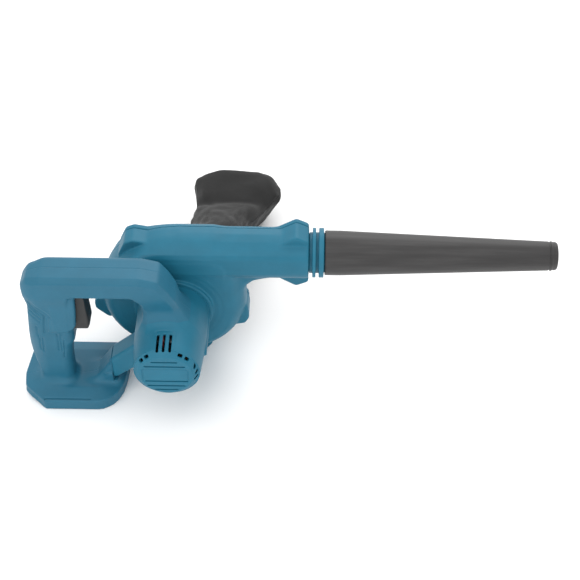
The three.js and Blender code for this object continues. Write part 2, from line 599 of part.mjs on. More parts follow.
function rotor() {
  const nutSeat = 6.8;
  piece('motor_shaft', turnedY([
    [0, -104.5], [2.4, -104.5], [SHAFT, -103.9], [SHAFT, 14], [2.4, 14.6], [0, 14.6],
  ], 32), STEEL);

  const slots = [];
  const bars = [];
  for (let i = 0; i < CORE_SLOTS; i += 1) {
    const angle = (360 * i) / CORE_SLOTS;
    slots.push(spun(block(10.5, 18, CORE_LOW - 1, CORE_HIGH + 1, -2.8, 2.8), angle));
    slots.push(spun(block(17, 24, CORE_LOW - 1, CORE_HIGH + 1, -1, 1), angle));
    bars.push(spun(block(11, 17.4, CORE_LOW - 2, CORE_HIGH + 2, -2.3, 2.3), angle));
  }
  const bore = barY(SHAFT + 0.2, -120, 40);
  piece('armature_core', cut(barY(CORE, CORE_LOW, CORE_HIGH), ...slots, bore), ZINC);
  const ends = [[CORE_LOW - 4.5, CORE_LOW - GAP], [CORE_HIGH + GAP, CORE_HIGH + 4.5]];
  piece('armature_windings', join(...bars, ...ends.map(([y0, y1]) => ringY(8, 18.5, y0, y1, 32))), COPPER);

  const risers = [];
  for (let i = 0; i < CORE_SLOTS; i += 1) {
    risers.push(spun(block(7.2, 9, -96.5, -84.6, -0.3, 0.3), (360 * (i + 0.5)) / CORE_SLOTS));
  }
  piece('commutator', cut(barY(COMMUTATOR, -95.5, -84), ...risers, bore), COPPER);

  const vanes = [];
  for (let i = 0; i < 8; i += 1) vanes.push(spun(block(6, 22, -43.5, -39, -0.8, 0.8), 45 * i));
  piece('cooling_fan', cut(join(barY(7.5, -44.5, -36.2, AXIS_X, 0, 24), barY(22.4, -40, -38.6), ...vanes), bore), BLACK_PLASTIC);

  piece('impeller', impeller(bore), BLACK_PLASTIC);
  piece('impeller_washer', ringY(SHAFT + 0.2, 6, nutSeat, nutSeat + 1, 24), ZINC);
  const nut = cut(barY(5.6, nutSeat + 1.3, nutSeat + 6, AXIS_X, 0, 6), bore);
  piece('impeller_nut', nut, ZINC);
}

// Open fan wheel: a back plate, a hub and curved blades that lean back from the turning direction.
function impeller(bore) {
  const back = barY(FAN_RADIUS, -16, -14, AXIS_X, 0, 48);
  const hub = turnedY([[0, -17.5], [9.5, -17.5], [9.5, -6], [7, 6.5], [0, 6.5]], 28);
  const blade = [];
  const steps = 5;
  for (let k = 0; k <= steps; k += 1) blade.push(polar(9 + (41.5 * k) / steps, 40 * (k / steps) ** 1.3));
  for (let k = steps; k >= 0; k -= 1) blade.push(polar(9 + (41.5 * k) / steps, 40 * (k / steps) ** 1.3 + 11 - 8 * (k / steps)));
  const blades = [];
  const flow = turnedY([[0, -15], [51, -15], [51, 12], [32, 16], [11, 2], [0, 2]], 32);
  for (let i = 0; i < FAN_BLADES; i += 1) blades.push(spun(plate(blade, -15, 16), (360 * i) / FAN_BLADES));
  return cut(join(back, hub, join(...blades).intersect(flow)), bore);
}

// ---- screws, heads on the side away from the motor end ----
function screw(name, x, z, headY, length) {
  const shape = turnedY([
    [0, headY - length], [1.2, headY - length], [1.8, headY - length + 1.5], [1.8, headY],
    [3.2, headY], [3.2, headY + 1.4], [2.2, headY + 2.2], [0, headY + 2.2],
  ], 10, x, z);
  const arm = 1.7;
  const slotA = block(x - arm, x + arm, headY + 1, headY + 4, z - 0.4, z + 0.4);
  const slotB = block(x - 0.4, x + 0.4, headY + 1, headY + 4, z - arm, z + arm);
  piece(name, cut(shape, slotA, slotB), ZINC);
}

function screws() {
  LUGS.forEach(({ centre: [x, z] }, i) => screw(`volute_screw_${i + 1}`, x, z, HEAD_SEAT + GAP, 17));
  HANDLE_SCREWS.forEach(([x, z], i) => screw(`handle_screw_${i + 1}`, x, z, HANDLE_FAR - 5, 20));
}

// Three short screws inside the barrel that hold it to the scroll.
function motorScrews() {
  const head = BARREL_FRONT - 2.7 - GAP;
  MOTOR_SCREWS.forEach(([x, z], i) => {
    const shape = turnedY([
      [0, head - 2], [2.4, head - 2], [3, head - 1.4], [3, head], [1.6, head], [1.6, head + 5.4], [0, head + 5.4],
    ], 10, x, z);
    piece(`barrel_screw_${i + 1}`, shape, ZINC);
  });
}

// ---- dust bag on the intake ----
const BAG_COLLAR = [INTAKE_RING + GAP, INTAKE_RING + 3.8];
const BAG_MOUTH = 45;

function dustBag() {
  const [inner, outer] = BAG_COLLAR;
  piece('bag_collar', turnedY([
    [inner, SCROLL_FAR + 2], [outer, SCROLL_FAR + 2], [outer, BAG_MOUTH], [36, BAG_MOUTH], [36, INTAKE_LIP + GAP],
    [inner, INTAKE_LIP + GAP], [inner, SCROLL_FAR + 2],
  ], 44), BLACK_PLASTIC);
  piece('bag_band', ringY(outer + GAP, outer + 2.2, SCROLL_FAR + 8, SCROLL_FAR + 14, 44), RUBBER);

  const points = [];
  for (let a = 0; a < 360; a += 20) {
    const [x, z] = polar(outer, a);
    points.push(new THREE.Vector3(x + AXIS_X, BAG_MOUTH + GAP, z));
  }
  const bulge = [
    [1, 106, -44], [3, 106, 6], [66, 104, 10], [72, 108, -44], [4, 150, -10], [2, 150, -74], [84, 158, -8],
    [99, 172, -14], [99, 190, -24], [100, 176, -70], [3, 186, FLOOR_Z], [6, 208, FLOOR_Z], [6, 212, -30],
    [30, 219, -24], [76, 222, -30], [90, 216, -34], [92, 212, FLOOR_Z], [97, 186, FLOOR_Z],
  ];
  bulge.forEach((p) => points.push(new THREE.Vector3(...p)));
  piece('dust_bag', solid(new ConvexGeometry(points)), FABRIC);
}

// ---- assembly ----
fanScroll();
intakeGuard();
outletSpigot();
nozzle();
barrel();
endCap();
handleHalves();
trigger();
switchBody();
batteryContacts();
leads();
motorFixed();
brushes();
rotor();
screws();
motorScrews();
dustBag();

const extent = new THREE.Box3().setFromObject(part);
const middle = extent.getCenter(new THREE.Vector3());
part.children.forEach((mesh) => mesh.geometry.translate(-middle.x, -middle.y, -extent.min.z));

export default part;
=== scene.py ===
"""Looks for the compact cordless blower: moulded housing, nozzle, trigger and fabric dust bag.

Shapes are worked out in millimetres about the middle of the fan scroll: x along the nozzle, y from the
motor end to the intake, z up. The fan and motor turn about the line x = AXIS_X, z = 0. place() turns
points into the row's frame in metres.
"""
import json
import math

import bmesh
import bpy
import numpy as np
import openvdb
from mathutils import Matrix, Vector, noise


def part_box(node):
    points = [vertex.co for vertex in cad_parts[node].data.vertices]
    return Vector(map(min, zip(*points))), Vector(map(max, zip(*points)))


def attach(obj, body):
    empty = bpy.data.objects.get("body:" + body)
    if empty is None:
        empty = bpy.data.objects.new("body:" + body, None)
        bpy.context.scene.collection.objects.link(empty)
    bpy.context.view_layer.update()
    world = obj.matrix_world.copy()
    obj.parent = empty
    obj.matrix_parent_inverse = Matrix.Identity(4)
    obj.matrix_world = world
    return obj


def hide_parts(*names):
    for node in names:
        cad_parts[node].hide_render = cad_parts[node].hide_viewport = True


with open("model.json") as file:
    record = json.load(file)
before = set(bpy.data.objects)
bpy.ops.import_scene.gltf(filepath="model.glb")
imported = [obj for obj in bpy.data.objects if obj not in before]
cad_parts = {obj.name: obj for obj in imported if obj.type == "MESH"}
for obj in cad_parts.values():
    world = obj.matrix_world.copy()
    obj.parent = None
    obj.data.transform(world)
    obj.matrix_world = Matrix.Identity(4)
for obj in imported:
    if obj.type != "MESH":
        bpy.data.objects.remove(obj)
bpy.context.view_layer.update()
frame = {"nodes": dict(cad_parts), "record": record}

MM = 0.001
FLOOR = -80.0  # the ground it stands on
AXIS_X = -2.6
PARTING, PARTING_GAP = 12.0, 0.15  # plane between the scroll halves, and half the gap at it
SCROLL_NEAR, SCROLL_FAR = -22.0, 26.0
SCROLL_WALL, CHAMBER_NEAR, CHAMBER_FAR = 2.6, -19.2, 23.2
DUCT_Y, DUCT_Z, DUCT_END = 2.0, 55.5, 130.5
DUCT_BORE, OUTLET_BORE = 21.2, 19.0
INTAKE_RADIUS = 37.0
GRIP_Y = -54.5  # middle of the grip, where its halves part
GRIP_HALF, BAR_EXTRA = 16.0, 2.6  # half width of the grip, and what the top bar adds to it
PANEL_RISE, PANEL_GROOVE = 0.9, 0.45
LINE_DEPTH, LINE_WIDTH = 1.15, 0.75
HANDLE_WALL, SIDE_WALL, BASE_WALL = 3.4, 3.7, 2.9
BARREL, BARREL_NARROWING, BARREL_TAPER, BARREL_WALL = 35.0, 3.3, -60.0, 2.4
CAP_SEAM, CAP_FACE = -103.8, -110.3
CAP_FACE_RADIUS, CAP_BORE = 25.8, 27.2
RING_NEAR, RING_RADIUS = -26.0, 39.0
ARM_SEAM = -63.2
RIM_TOP, DECK_RISE, DECK_BORDER = -66.8, 4.2, 14.0
TRAY_CEILING = -69.4
SHANK_HOLE, HEAD_HOLE, SHAFT_HOLE = 2.1, 3.6, 4.4  # radii
CLOTH_GAP = 0.4  # least height of the bag's cloth above the ground

cap_low, cap_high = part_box("motor_end_cap")
MIDDLE = Vector((
    (cap_low.x + cap_high.x) / 2 - AXIS_X * MM,
    cap_low.y - CAP_FACE * MM,
    (cap_low.z + cap_high.z) / 2,
))


def place(points):
    return np.asarray(points, float) * MM + np.array(MIDDLE)


# ---------------------------------------------------------------- distance fields
class Space:
    """A box of sample points in millimetres."""

    def __init__(self, low, high, step):
        self.low, self.step = np.array(low, float), step
        self.count = np.ceil((np.array(high, float) - self.low) / step).astype(int) + 1
        axes = [self.low[i] + step * np.arange(self.count[i]) for i in range(3)]
        self.x = axes[0].astype(np.float32)[:, None, None]
        self.y = axes[1].astype(np.float32)[None, :, None]
        self.z = axes[2].astype(np.float32)[None, None, :]

    def blur(self, field, spread):
        """Rounds edges by averaging neighbours over about spread millimetres."""
        field = field.astype(np.float32)
        for _ in range(max(1, round(2 * (spread / self.step) ** 2))):
            for axis in range(3):
                last = field.shape[axis] - 1
                if last < 2:
                    continue
                before = field.take(np.maximum(np.arange(last + 1) - 1, 0), axis)
                after = field.take(np.minimum(np.arange(last + 1) + 1, last), axis)
                field = 0.5 * field + 0.25 * (before + after)
        return field


def soft_min(a, b, width):
    """The smaller of two distances, with their meeting line filled by a fillet."""
    near = np.maximum(width - np.abs(a - b), 0) / width
    return np.minimum(a, b) - near * near * width / 4


def soft_max(a, b, width):
    """The larger of two distances, with the edge between them eased."""
    return -soft_min(-a, -b, width)


def rounded(a, b, radius):
    """Where two faces meet, an edge of a true radius."""
    corner = np.sqrt(np.maximum(a + radius, 0) ** 2 + np.maximum(b + radius, 0) ** 2)
    return np.minimum(np.maximum(a, b), -radius) + corner


def chamfered(a, b, leg, soft=0.8):
    """Where two faces meet, a flat cut that takes leg off each."""
    return soft_max(soft_max(a, b, soft), (a + b + leg) * math.sqrt(0.5), soft)


def carve(body, tool, width=0.5):
    """The body with the tool cut out of it."""
    return soft_max(body, -tool, width)


def ramp(value, start, end):
    """Runs smoothly from 0 at start to 1 at end."""
    t = np.clip((value - start) / (end - start), 0, 1)
    return t * t * (3 - 2 * t)


def bell(value, width):
    return np.exp(-(value / width) ** 2)


def segments(points, closed):
    ends = [*points[1:], points[0]] if closed else points[1:]
    return zip(points, ends)


def gap_to_lines(u, v, points, closed=False):
    """Distance to the straight lines through points."""
    nearest = None
    for (au, av), (bu, bv) in segments(points, closed):
        eu, ev = bu - au, bv - av
        t = np.clip(((u - au) * eu + (v - av) * ev) / (eu * eu + ev * ev), 0, 1)
        gap = (u - au - eu * t) ** 2 + (v - av - ev * t) ** 2
        nearest = gap if nearest is None else np.minimum(nearest, gap)
    return np.sqrt(nearest)


def outline(u, v, points):
    """Signed distance to a closed outline, negative inside."""
    inside = False
    for (au, av), (bu, bv) in segments(points, True):
        if av != bv:
            crosses = ((v < av) != (v < bv)) & (u < au + (bu - au) * (v - av) / (bv - av))
            inside = inside ^ crosses
    return np.where(inside, -1, 1).astype(np.float32) * gap_to_lines(u, v, points, True)


def band(value, low, high):
    """Distance to a slab between two planes."""
    return np.abs(value - (low + high) / 2) - (high - low) / 2


def rod(u, v, u0, v0, radius):
    """Distance to an endless cylinder, seen along its line."""
    return np.sqrt((u - u0) ** 2 + (v - v0) ** 2) - radius


def from_axis(s):
    """How far each sample point is from the fan's line."""
    return np.sqrt((s.x - AXIS_X) ** 2 + s.z ** 2)


def box(s, x, y, z, edge=0.5):
    return soft_max(soft_max(band(s.x, *x), band(s.y, *y), edge), band(s.z, *z), edge)


def main_part(points, quads):
    """Keeps the largest connected part of a mesh, without loose crumbs."""
    label = np.arange(len(points))
    while True:
        lower = label.copy()
        lowest = label[quads].min(axis=1)
        for corner in range(4):
            np.minimum.at(lower, quads[:, corner], lowest)
        lower = lower[lower]
        if np.array_equal(lower, label):
            break
        label = lower
    kept = label == np.bincount(label).argmax()
    number = np.cumsum(kept) - 1
    return points[kept], number[quads[kept[quads[:, 0]]]]


def skin(name, space, field, body, material, replaced):
    """Turns a distance field into a mesh piece on a body."""
    limit = 3 * space.step
    volume = np.broadcast_to(np.clip(field, -limit, limit), tuple(space.count)).astype(np.float32)
    grid = openvdb.FloatGrid(limit)
    grid.copyFromArray(volume)
    points, quads = main_part(*grid.convertToQuads(isovalue=0.0))
    mesh = bpy.data.meshes.new(name)
    mesh.from_pydata(place(points * space.step + space.low).tolist(), [], quads[:, ::-1].tolist())
    piece(name, mesh, body, material, replaced)
    mesh.shade_smooth()


def piece(name, mesh, body, material, replaced=()):
    """Adds a mesh as a piece that rides a body, in place of the CAD nodes it replaces."""
    mesh.validate()
    made = bpy.data.objects.new(name, mesh)
    bpy.context.scene.collection.objects.link(made)
    mesh.materials.append(material)
    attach(made, body)
    if replaced:
        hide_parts(*replaced)
    return made


# ---------------------------------------------------------------- materials
class Nodes:
    """Short calls for building a material's nodes."""

    def __init__(self, name):
        self.material = bpy.data.materials.new(name)
        self.material.use_nodes = True
        self.tree = self.material.node_tree
        self.shader = next(n for n in self.tree.nodes if n.type == "BSDF_PRINCIPLED")
        self.where = self.tree.nodes.new("ShaderNodeTexCoord").outputs["Object"]

    def link(self, source, target):
        self.tree.links.new(source, target)

    def new(self, kind, **values):
        node = self.tree.nodes.new("ShaderNode" + kind)
        for key, value in values.items():
            setattr(node, key, value)
        return node

    def noise(self, scale, detail=4.0, rough=0.5, stretch=None):
        node = self.new("TexNoise")
        node.inputs["Scale"].default_value = scale
        node.inputs["Detail"].default_value = detail
        node.inputs["Roughness"].default_value = rough
        self.link(self.stretched(stretch), node.inputs["Vector"])
        return node.outputs["Fac"]

    def stretched(self, stretch):
        if stretch is None:
            return self.where
        mapping = self.new("Mapping")
        mapping.inputs["Scale"].default_value = stretch
        self.link(self.where, mapping.inputs["Vector"])
        return mapping.outputs["Vector"]

    def ramp(self, source, stops):
        node = self.new("ValToRGB")
        elements = node.color_ramp.elements
        while len(elements) < len(stops):
            elements.new(0.5)
        for element, (position, colour) in zip(elements, stops):
            element.position = position
            element.color = (*colour, 1)
        self.link(source, node.inputs["Fac"])
        return node.outputs["Color"]

    def mix(self, factor, first, second):
        node = self.new("Mix", data_type="RGBA")
        self.link(factor, node.inputs["Factor"])
        for socket, value in zip((node.inputs["A"], node.inputs["B"]), (first, second)):
            if isinstance(value, tuple):
                socket.default_value = (*value, 1)
            else:
                self.link(value, socket)
        return node.outputs["Result"]

    def span(self, source, low, high, start=0.0, end=1.0):
        node = self.new("MapRange")
        node.inputs["From Min"].default_value = start
        node.inputs["From Max"].default_value = end
        node.inputs["To Min"].default_value = low
        node.inputs["To Max"].default_value = high
        self.link(source, node.inputs["Value"])
        return node.outputs["Result"]

    def math(self, operation, a, b):
        node = self.new("Math", operation=operation)
        for socket, value in zip(node.inputs, (a, b)):
            if isinstance(value, (int, float)):
                socket.default_value = value
            else:
                self.link(value, socket)
        return node.outputs["Value"]

    def bump(self, height, strength, distance, under=None):
        node = self.new("Bump")
        node.inputs["Strength"].default_value = strength
        node.inputs["Distance"].default_value = distance
        self.link(height, node.inputs["Height"])
        if under is not None:
            self.link(under, node.inputs["Normal"])
        return node.outputs["Normal"]

    def finish(self, colour, rough, normal=None, **values):
        self.link(colour, self.shader.inputs["Base Color"])
        self.link(rough, self.shader.inputs["Roughness"])
        if normal is not None:
            self.link(normal, self.shader.inputs["Normal"])
        for key, value in values.items():
            self.shader.inputs[key.replace("_", " ")].default_value = value
        return self.material


def srgb(red, green, blue):
    """A colour given from 0 to 255, as linear light."""
    def linear(c):
        c /= 255
        return c / 12.92 if c <= 0.04045 else ((c + 0.055) / 1.055) ** 2.4
    return tuple(linear(c) for c in (red, green, blue))


def shade(colour, factor):
    return tuple(min(1, c * factor) for c in colour)


def moulded_plastic(name, colour, rough=(0.42, 0.56), grain=0.25, variation=0.06, edges=0.0, **values):
    """Injection-moulded plastic: fine spark-eroded grain, faint cloudy colour, and sharp edges painted
    paler, partly as wear and partly as a painted highlight.
    """
    n = Nodes(name)
    cloudy = n.noise(38, 5, 0.6)
    base = n.ramp(cloudy, [(0.3, shade(colour, 1 - variation)), (0.7, shade(colour, 1 + variation))])
    fine = n.noise(2600, 2, 0.5)
    wear_and_highlight_noise = n.noise(240, 4, 0.7)
    if edges:
        # Sharp edges painted paler: partly wear, partly a painted highlight along the edges
        corner = n.span(n.new("NewGeometry").outputs["Pointiness"], 0.0, edges, 0.51, 0.6)
        base = n.mix(n.math("MULTIPLY", corner, wear_and_highlight_noise), base, shade(colour, 2.0))
    roughness = n.span(n.math("ADD", n.math("MULTIPLY", wear_and_highlight_noise, 0.6), n.math("MULTIPLY", fine, 0.4)), *rough)
    under = n.bump(wear_and_highlight_noise, 0.05, 0.0008)
    return n.finish(base, roughness, n.bump(fine, grain, 0.00012, under), **values)


def nozzle_plastic():
    """Dark plastic whose colour runs in lighter and darker streaks down its length."""
    n = Nodes("nozzle_plastic")
    streaks = n.noise(60, 4, 0.55, (0.22, 3.4, 3.4))
    fine = n.noise(2400, 2, 0.5)
    base = n.ramp(streaks, [(0.3, srgb(40, 39, 39)), (0.5, srgb(47, 46, 46)), (0.72, srgb(58, 57, 57))])
    roughness = n.span(streaks, 0.44, 0.56)
    under = n.bump(streaks, 0.05, 0.0005)
    return n.finish(base, roughness, n.bump(fine, 0.2, 0.0001, under), Specular_IOR_Level=0.42)


def metal(name, colour, rough, stretch=None, grain=900.0):
    n = Nodes(name)
    scratches = n.noise(grain, 3, 0.6, stretch)
    base = n.ramp(scratches, [(0.3, shade(colour, 0.86)), (0.7, shade(colour, 1.08))])
    return n.finish(base, n.span(scratches, *rough), n.bump(scratches, 0.15, 0.0001), Metallic=1.0)


def matte(name, colour, rough=(0.7, 0.9), scale=700.0):
    n = Nodes(name)
    grain = n.noise(scale, 4, 0.6)
    base = n.ramp(grain, [(0.3, shade(colour, 0.8)), (0.7, shade(colour, 1.2))])
    return n.finish(base, n.span(grain, *rough), n.bump(grain, 0.3, 0.0002))


def woven_fabric():
    """Closely woven synthetic cloth: fine plain weave, soft sheen, slight rumples and faint dust."""
    n = Nodes("bag_fabric")
    warp = n.new("TexWave", wave_type="BANDS", bands_direction="X")
    weft = n.new("TexWave", wave_type="BANDS", bands_direction="Y")
    for thread in (warp, weft):
        thread.inputs["Scale"].default_value = 380
        thread.inputs["Distortion"].default_value = 1.2
        thread.inputs["Detail"].default_value = 1.0
        n.link(n.where, thread.inputs["Vector"])
    weave = n.math("MAXIMUM", warp.outputs["Fac"], weft.outputs["Fac"])
    cloudy = n.noise(26, 6, 0.65)
    tone = n.math("ADD", n.math("MULTIPLY", weave, 0.25), n.math("MULTIPLY", cloudy, 0.75))
    base = n.ramp(tone, [(0.25, srgb(24, 24, 24)), (0.55, srgb(32, 32, 32)), (0.85, srgb(41, 41, 41))])
    rumples = n.bump(n.noise(70, 5, 0.5), 0.3, 0.0016)
    return n.finish(
        base, n.span(cloudy, 0.8, 0.95), n.bump(weave, 0.35, 0.00025, rumples),
        Sheen_Weight=0.12, Sheen_Roughness=0.45, Specular_IOR_Level=0.25,
    )


# edges=0.5 paints sharp edges paler on both teals: partly wear, partly a painted highlight
TEAL = moulded_plastic("housing_plastic", srgb(24, 99, 123), edges=0.5, Specular_IOR_Level=0.28)
GRIP_TEAL = moulded_plastic("grip_plastic", srgb(29, 94, 118), edges=0.5, Specular_IOR_Level=0.32)
TRIGGER_PLASTIC = moulded_plastic("trigger_plastic", srgb(33, 34, 34), (0.46, 0.6))
BLACK_PLASTIC = moulded_plastic("black_plastic", srgb(30, 31, 33), (0.45, 0.62))
NOZZLE_PLASTIC = nozzle_plastic()
FABRIC = woven_fabric()
RUBBER = matte("band_rubber", srgb(26, 26, 27), (0.6, 0.8), 300.0)
CARRIED = {
    "black_plastic": BLACK_PLASTIC,
    "bright_steel": metal("bright_steel", (0.62, 0.64, 0.66), (0.22, 0.4)),
    "zinc_steel": metal("zinc_steel", (0.5, 0.53, 0.56), (0.3, 0.5)),
    "copper": metal("copper", (0.72, 0.36, 0.17), (0.25, 0.42), (1, 6, 1)),
    "brass": metal("brass", (0.68, 0.5, 0.2), (0.25, 0.4)),
    "magnet_ferrite": matte("magnet_ferrite", srgb(58, 58, 60)),
    "brush_carbon": matte("brush_carbon", srgb(40, 40, 42), (0.45, 0.7)),
    "red_insulation": moulded_plastic("red_insulation", srgb(150, 38, 34)),
    "black_insulation": moulded_plastic("black_insulation", srgb(24, 24, 25)),
}


def dress_cad_nodes():
    """Gives every carried-over CAD node the material of its slot."""
    for row in frame["record"]["subparts"]:
        node = frame["nodes"][row["node"]]
        if row["material_slot"] in CARRIED:
            node.data.materials.clear()
            node.data.materials.append(CARRIED[row["material_slot"]])


# ---------------------------------------------------------------- fan scroll
def polar(radius, angle):
    return radius * math.cos(math.radians(angle)), radius * math.sin(math.radians(angle))


def scroll_outline():
    """The spiral of the fan chamber, from the throat down and round to the duct's roof."""
    start, growth, top = 68.3, 10.7, 79.0
    points = [polar(start + growth * turn / 270, -turn) for turn in range(0, 271, 5)]
    return [*points, (38, top), (56, 73), (65, 58)]


THROAT = [(50, 42), (92, 34), (83, 30), (76.5, 27), (70.5, 21.5), (66.5, 14.5), (65, 6), (65, -8), (50, -8)]
LUG_NEAR, LUG_FAR = -7.0, 18.0
UPPER_MOUTH_LUG_NEAR, LOWER_MOUTH_LUG_NEAR = -11.0, -6.0


def lug(angle, tip):
    """Outline, screw centre and near plane of a screw lug on the spiral."""
    corners = [(60, -15), (tip - 10, -13.5), (tip - 1, -4.5), (tip, 1.5), (tip - 8, 12.5), (60, 15)]
    return [polar(radius, angle + lean) for radius, lean in corners], polar(tip - 6.4, angle - 0.8), LUG_NEAR


LUGS = [
    lug(122, 87),
    lug(191, 86.5),
    ([(-8, -60), (-3, -74), (4, FLOOR), (24, FLOOR), (32, -70), (30, -58)], (14, -75.6), LUG_NEAR),
    ([(50, -5), (66, -7), (70, -14), (70.8, -30), (66.5, -38), (48, -42)], (66.6, -21.5), LUG_NEAR),
    ([(94, 60), (94, 72), (118, 86.5), (130.5, 80), (130.5, 60)], (118, 80.6), UPPER_MOUTH_LUG_NEAR),
    ([(94, 44), (94, 32), (118, 16.5), (130.5, 22.5), (130.5, 44)], (118, 23.6), LOWER_MOUTH_LUG_NEAR),
]
DUCT_SECTION = [
    (-23, 48), (-23, 67), (-21, 71.5), (-16, 74.6), (-8, 77.5), (2, 79), (10, 78.3), (17, 75.2),
    (22.5, 69.5), (25.5, 62), (26, 54), (24, 44.5), (18.5, 36.5), (10.5, 31.8), (2, 30.3), (-6.5, 31.8),
    (-14, 36), (-20, 42),
]


def quarter_round(depth, along):
    """How far an edge has rounded in, from 0 at the start of the curve to depth at its end."""
    t = np.clip(along, 0, 1)
    return depth * (1 - np.sqrt(1 - t * t))


def scroll_field(s):
    """Outside of both scroll halves together: spiral, duct, throat and screw lugs."""
    spiral = outline(s.x, s.z, scroll_outline())
    spiral = spiral + quarter_round(18, -s.y / 22.3) + quarter_round(18, (s.y - 6) / 20.3)
    body = soft_max(spiral, band(s.y, SCROLL_NEAR, SCROLL_FAR), 1.5)

    flat = outline(s.y, s.z, DUCT_SECTION)
    eased = s.blur(flat, 3.5)
    section = flat + (eased - flat) * ramp(s.x, 70, 118)
    leaving = soft_min(rod(s.x, s.z, 0, 0, 75.5), 4 - s.x, 6)
    duct = soft_max(soft_max(section, s.x - DUCT_END, 2.0), leaving, 4)
    body = soft_min(body, duct, 4)

    throat = soft_max(outline(s.x, s.z, THROAT), band(s.y, -14, LUG_FAR), 9)
    body = soft_min(body, throat, 5)
    for points, _centre, near in LUGS:
        shape = s.blur(outline(s.x, s.z, points), 1.4)
        body = soft_min(body, soft_max(shape, band(s.y, near, LUG_FAR), 1.2), 1.6)
    return soft_max(body, s.x - DUCT_END, 1.0)


def scroll_rings(s, body):
    """The raised ring that the motor barrel stands in, and two faint ridges beside it."""
    radius = from_axis(s)
    ring = rounded(band(radius, 30, RING_RADIUS), band(s.y, RING_NEAR, -18), 1.2)
    body = soft_min(body, ring, 1.0)
    for middle in (44.6, 50.2):
        body = body - 0.2 * bell(radius - middle, 1.6) * ramp(-s.y, 18, 21) * ramp(s.x, 5, 20)
    return body


def build_scroll():
    s = Space((-92, -28, -83), (133, 45, 91), 0.8)
    body = scroll_rings(s, s.blur(scroll_field(s), 0.55))
    inner = outline(s.x, s.z, scroll_outline()) + SCROLL_WALL + quarter_round(15, -s.y / 19.5)
    inner = inner + quarter_round(15, (s.y - 6) / 17.5)
    chamber = soft_max(inner, band(s.y, CHAMBER_NEAR, CHAMBER_FAR), 2)
    duct_bore = soft_max(rod(s.y, s.z, DUCT_Y, DUCT_Z, DUCT_BORE), band(s.x, 10, 126.5), 1)
    outlet = soft_max(rod(s.y, s.z, DUCT_Y, DUCT_Z, OUTLET_BORE), band(s.x, 120, 140), 0.5)
    shell = carve(carve(carve(body, chamber, 1), duct_bore, 1), outlet)
    for _points, (x, z), _near in LUGS:
        shank = soft_max(rod(s.x, s.z, x, z, SHANK_HOLE), band(s.y, -3, 40), 0.3)
        shell = carve(shell, shank, 0.3)
    shaft_hole = soft_max(rod(s.x, s.z, AXIS_X, 0, SHAFT_HOLE), band(s.y, -40, 0), 0.3)
    motor_half = carve(soft_max(shell, s.y - (PARTING - PARTING_GAP), 0.4), shaft_hole)
    skin("scroll_motor_side", s, motor_half, "blower_body", TEAL, ["volute_motor_side"])

    cover = soft_max(shell, PARTING + PARTING_GAP - s.y, 0.4)
    radius = from_axis(s)
    mouth = soft_max(band(radius, INTAKE_RADIUS, 41.5), band(s.y, 23.4, 42), 0.9)
    shelf = soft_max(band(radius, 34, 38), band(s.y, 23.4, 25.4), 0.5)
    cover = carve(cover, soft_max(radius - INTAKE_RADIUS, band(s.y, 10, 60), 0.3))
    cover = soft_min(soft_min(cover, mouth, 1.5), shelf, 0.5)
    for _points, (x, z), _near in LUGS:
        head = soft_max(rod(s.x, s.z, x, z, HEAD_HOLE), band(s.y, 15.6, 60), 0.3)
        cover = carve(cover, head, 0.4)
    skin("scroll_intake_side", s, cover, "blower_body", TEAL, ["volute_intake_side"])


# ---------------------------------------------------------------- handle, base, arm and barrel as one skin
HANDLE = [
    (-119, 86.5), (-26, 86.5), (-9, 82), (-1, 70), (5.5, 56.5), (15, 20), (-20, 14), (-29, 53), (-36, 60.5),
    (-91.5, 60.5), (-93.5, 46), (-96, -5), (-99.5, -10), (-102, -32), (-102.5, -48), (-102, -70),
    (-133, -70),
    (-136.8, -42), (-139.8, -28), (-141.5, -12), (-140, 6), (-137.7, 28), (-135.9, 46), (-138.5, 60),
    (-139.5, 72), (-133, 82),
]
PANEL = [
    (-150, 57), (-131, 58), (-128.8, 54.8), (-125.8, 49.4), (-120.9, 44), (-116.3, 39.2), (-114.4, 35.8),
    (-116.1, 33.7), (-118.9, 14.5), (-117.5, 12.8), (-70, 12.8), (-70, 30), (40, -30), (40, 120),
    (-150, 120),
]
CHEEK = [(-114.5, 14.5), (-101, 14.5), (-95, 16.5), (-91.5, 21.5), (-89.5, 42), (-88.3, 61), (-114.5, 62)]
GRIP_LINES = [
    [(-132.6, 54.6), (-129.2, 46.6), (-124.4, 41.2), (-119.8, 36.4), (-120.4, 31.5), (-122.6, 12.5)],
    [(-134.5, 49), (-129.2, 43.6), (-124, 37.4)],
    [(-135.2, 43.5), (-129.9, 38.6), (-124.2, 31.6)],
    [(-136, 38.2), (-130.6, 33.2), (-125.6, 27)],
    [(-129.4, 20.7), (-129.8, 8), (-128.4, 2.8), (-129.3, -13.3)],
    [(-125.2, 4), (-126.6, -16)],
    [(-110.7, 9.7), (-111.7, -14)],
    [(-107.6, 9.8), (-108.9, -16)],
    [(-104.9, 2), (-107.9, -25)],
]
BASE = [
    (-146, -9), (-151, -13), (-154.8, -52), (-152.6, -68), (-131, -89), (-77, -89), (-69.5, -86.6),
    (-63, -82), (-57.8, -75), (-54.4, -66), (-52.3, -54), (-51.5, -42), (-52.3, -24), (-57, -11), (-65, -9),
]
RISER = [(-90, -67), (-80, -58.5), (-71.5, -46), (ARM_SEAM, -33), (-60, -31), (-60, -58.6), (-58, -67)]
FOOT = [(-90, -66), (-78, -61), (-67, -51), (-60, -47), (-60, -66)]
ARM = [
    (-66, -33.4), (-43, -13.5), (-26, 0), (-18, -24), (-26, -32), (-43, -45), (-58, -57), (-66, -59.2),
]
HANDLE_SCREWS = [(-58, 75.5), (-119, 77), (-122, -30), (-68.5, -54)]


def foot_narrowing(s):
    """How far each side of the grip draws in towards its foot."""
    return 2.2 * ramp(s.z, 2, -34)


